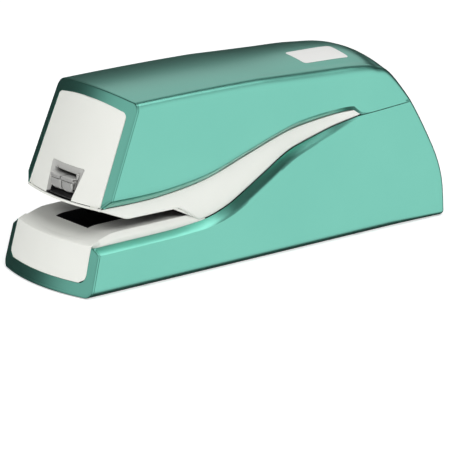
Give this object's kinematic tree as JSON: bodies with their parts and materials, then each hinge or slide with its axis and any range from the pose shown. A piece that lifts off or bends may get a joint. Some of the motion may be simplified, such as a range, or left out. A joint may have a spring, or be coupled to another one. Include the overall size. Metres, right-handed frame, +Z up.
{
  "type": "electric stapler",
  "caption": "Battery electric stapler with a metallic cover, white inner frame, pull-out staple magazine, paper slot with trigger, clinching anvil, and a motor-driven cam and lever.",
  "frame": {"origin": "centre of the bounding box in plan, at the underside of the feet", "axes": "-Y towards the stapling end, +X to the right of the user who faces the stapling end's rear, +Z up"},
  "size_m": [0.06, 0.1948, 0.0793],
  "materials": {
    "metallic_cover": "satin metallic lacquer over moulded plastic",
    "white_plastic": "fine matte",
    "grey_plastic": "fine matte",
    "black_plastic": "matte",
    "chrome_plate": "polished",
    "steel": "rolled sheet and turned bar",
    "anvil_steel": "dark grey, satin",
    "brass": "satin",
    "nylon": "natural nylon",
    "rubber": "matte",
    "cell_jacket": "printed sleeve, plain",
    "circuit_board": "solder mask"
  },
  "bodies": {
    "housing": {"anvil_plate": "anvil_steel", "base_plate": "grey_plastic", "base_tray": "white_plastic", "battery_tray": "black_plastic", "cell_front_left": "cell_jacket", "cell_front_right": "cell_jacket", "cell_rear_left": "cell_jacket", "cell_rear_right": "cell_jacket", "circuit_board": "circuit_board", "contact_front": "brass", "contact_rear": "brass", "foot_front_left": "rubber", "foot_front_right": "rubber", "foot_rear_left": "rubber", "foot_rear_right": "rubber", "frame_bridge": "steel", "front_panel": "white_plastic", "idler_shaft": "steel", "label": "white_plastic", "lower_shell": "metallic_cover", "microswitch": "black_plastic", "mid_frame": "white_plastic", "motor": "steel", "notch_bezel": "grey_plastic", "pivot_shaft": "steel", "return_spring": "steel", "screw_front_left": "steel", "screw_front_right": "steel", "screw_rear_left": "steel", "screw_rear_right": "steel", "side_plate_left": "steel", "side_plate_right": "steel", "trigger_pin": "steel", "upper_cover": "metallic_cover"},
    "driver_arm": {"driver_arm": "steel", "roller_pin": "steel", "cam_roller": "steel"},
    "driver_blade": {"driver_blade": "steel"},
    "drive_gear": {"main_gear": "nylon", "drive_cam": "steel", "main_shaft": "steel"},
    "idler_gear": {"idler_gear": "nylon"},
    "motor_pinion": {"motor_pinion": "brass"},
    "magazine": {"magazine_channel": "chrome_plate", "magazine_nose": "chrome_plate", "staple_rail": "steel", "staple_strip": "steel", "pusher_rod": "steel", "pusher_spring": "steel"},
    "pusher": {"pusher": "black_plastic"},
    "trigger": {"trigger_lever": "black_plastic"},
    "battery_door": {"battery_door": "grey_plastic"}
  },
  "joints": [
    {"name": "drive_gear_spin", "type": "hinge", "parent": "housing", "child": "drive_gear", "pos_m": [0, 0.055, 0.0417], "axis": [1, 0, 0], "range_deg": [0, 180]},
    {"name": "idler_gear_spin", "type": "hinge", "parent": "housing", "child": "idler_gear", "pos_m": [0, 0.0366, 0.0417], "axis": [1, 0, 0], "range_deg": [-648, 0]},
    {"name": "motor_pinion_spin", "type": "hinge", "parent": "housing", "child": "motor_pinion", "pos_m": [0, 0.01883, 0.03694], "axis": [1, 0, 0], "range_deg": [0, 2332.8]},
    {"name": "driver_arm_swing", "type": "hinge", "parent": "housing", "child": "driver_arm", "pos_m": [0, 0.015, 0.058], "axis": [1, 0, 0], "range_deg": [0, 11.88], "deforming": ["return_spring"]},
    {"name": "driver_blade_slide", "type": "slide", "parent": "housing", "child": "driver_blade", "axis": [0, 0, -1], "range_m": [0, 0.017]},
    {"name": "magazine_slide", "type": "slide", "parent": "housing", "child": "magazine", "axis": [0, -1, 0], "range_m": [0, 0.0585]},
    {"name": "pusher_slide", "type": "slide", "parent": "magazine", "child": "pusher", "axis": [0, 1, 0], "range_m": [0, 0.011], "stiffness_N_per_m": 60, "deforming": ["pusher_spring"]},
    {"name": "trigger_lever_swing", "type": "hinge", "parent": "housing", "child": "trigger", "pos_m": [0, -0.05, 0.0358], "axis": [1, 0, 0], "range_deg": [0, 16], "stiffness_Nm_per_rad": 0.002},
    {"name": "battery_door_slide", "type": "slide", "parent": "housing", "child": "battery_door", "axis": [0, 1, 0], "range_m": [0, 0.02]}
  ],
  "couplings": [
    {"joint": "idler_gear_spin", "follows": "drive_gear_spin", "ratio": -3.6},
    {"joint": "motor_pinion_spin", "follows": "drive_gear_spin", "ratio": 12.96},
    {"joint": "driver_arm_swing", "follows": "drive_gear_spin", "ratio": 0.065991},
    {"joint": "driver_blade_slide", "follows": "drive_gear_spin", "m_per_rad": 0.0054113}
  ]
}
